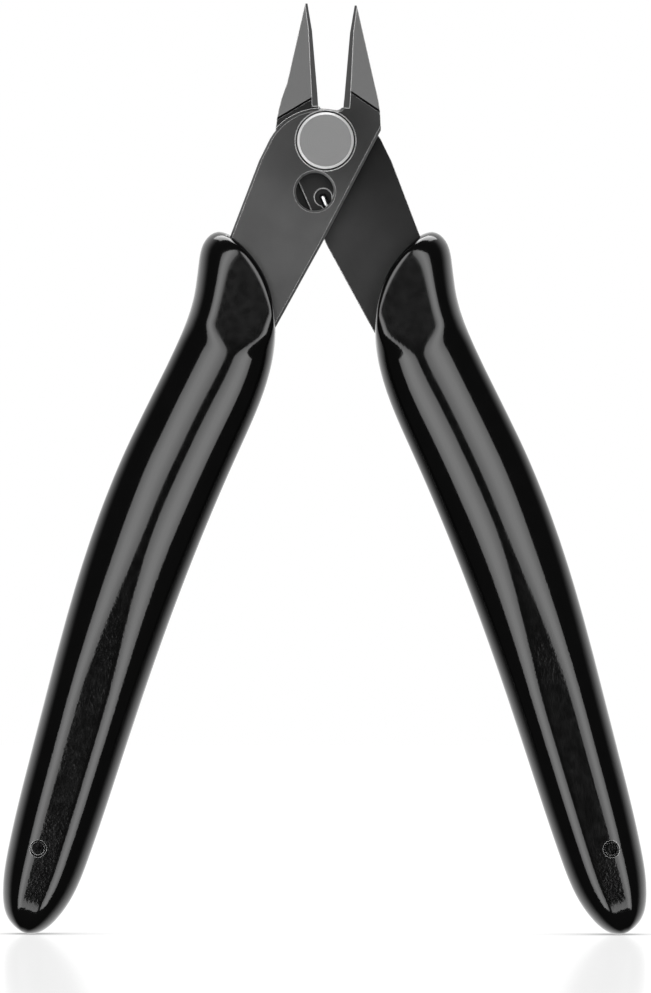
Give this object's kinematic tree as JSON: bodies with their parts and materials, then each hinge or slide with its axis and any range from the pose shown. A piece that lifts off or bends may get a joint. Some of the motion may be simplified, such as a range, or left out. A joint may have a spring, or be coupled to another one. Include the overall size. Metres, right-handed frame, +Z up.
{
  "type": "flush cutter",
  "caption": "Small spring-opened hand cutter with two stacked levers on one rivet, narrow tapered jaws and long curved moulded grips.",
  "frame": {"origin": "under the pivot, level with the lowest points of the two grips, in the plane where the two levers slide on each other", "axes": "+Z upwards from the grips' ends to the jaws, +X to the right seen from the front, +Y to the back along the pivot axis"},
  "size_m": [0.0844, 0.0106, 0.1221],
  "materials": {
    "blackened_steel": "black oxide over fine ground steel, bare grey on the ground jaw faces",
    "rivet_steel": "satin turned steel",
    "spring_wire": "bright drawn wire",
    "grip_plastic": "glossy black moulded plastic"
  },
  "bodies": {
    "front_half": {"front_lever": "blackened_steel", "pivot_rivet": "rivet_steel", "left_grip": "grip_plastic"},
    "back_half": {"back_lever": "blackened_steel", "return_spring": "spring_wire", "right_grip": "grip_plastic"}
  },
  "joints": [
    {"name": "pivot", "type": "hinge", "parent": "front_half", "child": "back_half", "pos_m": [0, 0, 0.10395], "axis": [0, 1, 0], "range_deg": [0, 19.6], "stiffness_Nm_per_rad": 0.6, "springref_deg": -34.38, "deforming": ["return_spring"]}
  ]
}
